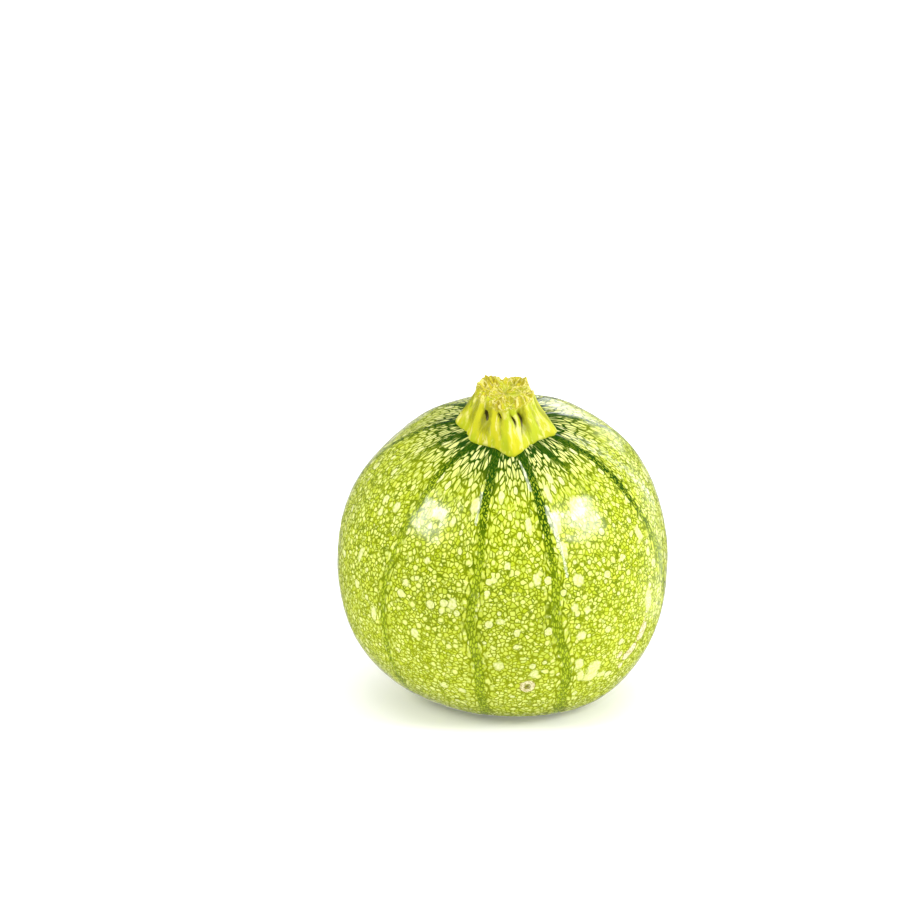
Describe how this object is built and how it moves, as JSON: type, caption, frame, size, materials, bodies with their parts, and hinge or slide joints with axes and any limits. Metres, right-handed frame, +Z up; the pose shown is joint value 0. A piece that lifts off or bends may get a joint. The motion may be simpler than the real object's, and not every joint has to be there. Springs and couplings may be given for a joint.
{
  "type": "vegetable marrow",
  "caption": "Round pale-green vegetable marrow with netted skin, dark stripes and a short ribbed stem stub, resting on its flattened underside.",
  "frame": {"origin": "middle of the bottom of the bounding box, on the surface the marrow rests on", "axes": "+Z up from the resting surface, -Y toward the side the stem leans to, +X to the right seen from that side"},
  "size_m": [0.0924, 0.0924, 0.0954],
  "materials": {
    "skin": "smooth waxy plant skin, soft gloss, pale cells in a fine olive net",
    "stem": "fibrous plant stalk, satin to dull, rough cut end"
  },
  "bodies": {
    "root": {"marrow_fruit": "skin", "stem": "stem"}
  },
  "joints": []
}
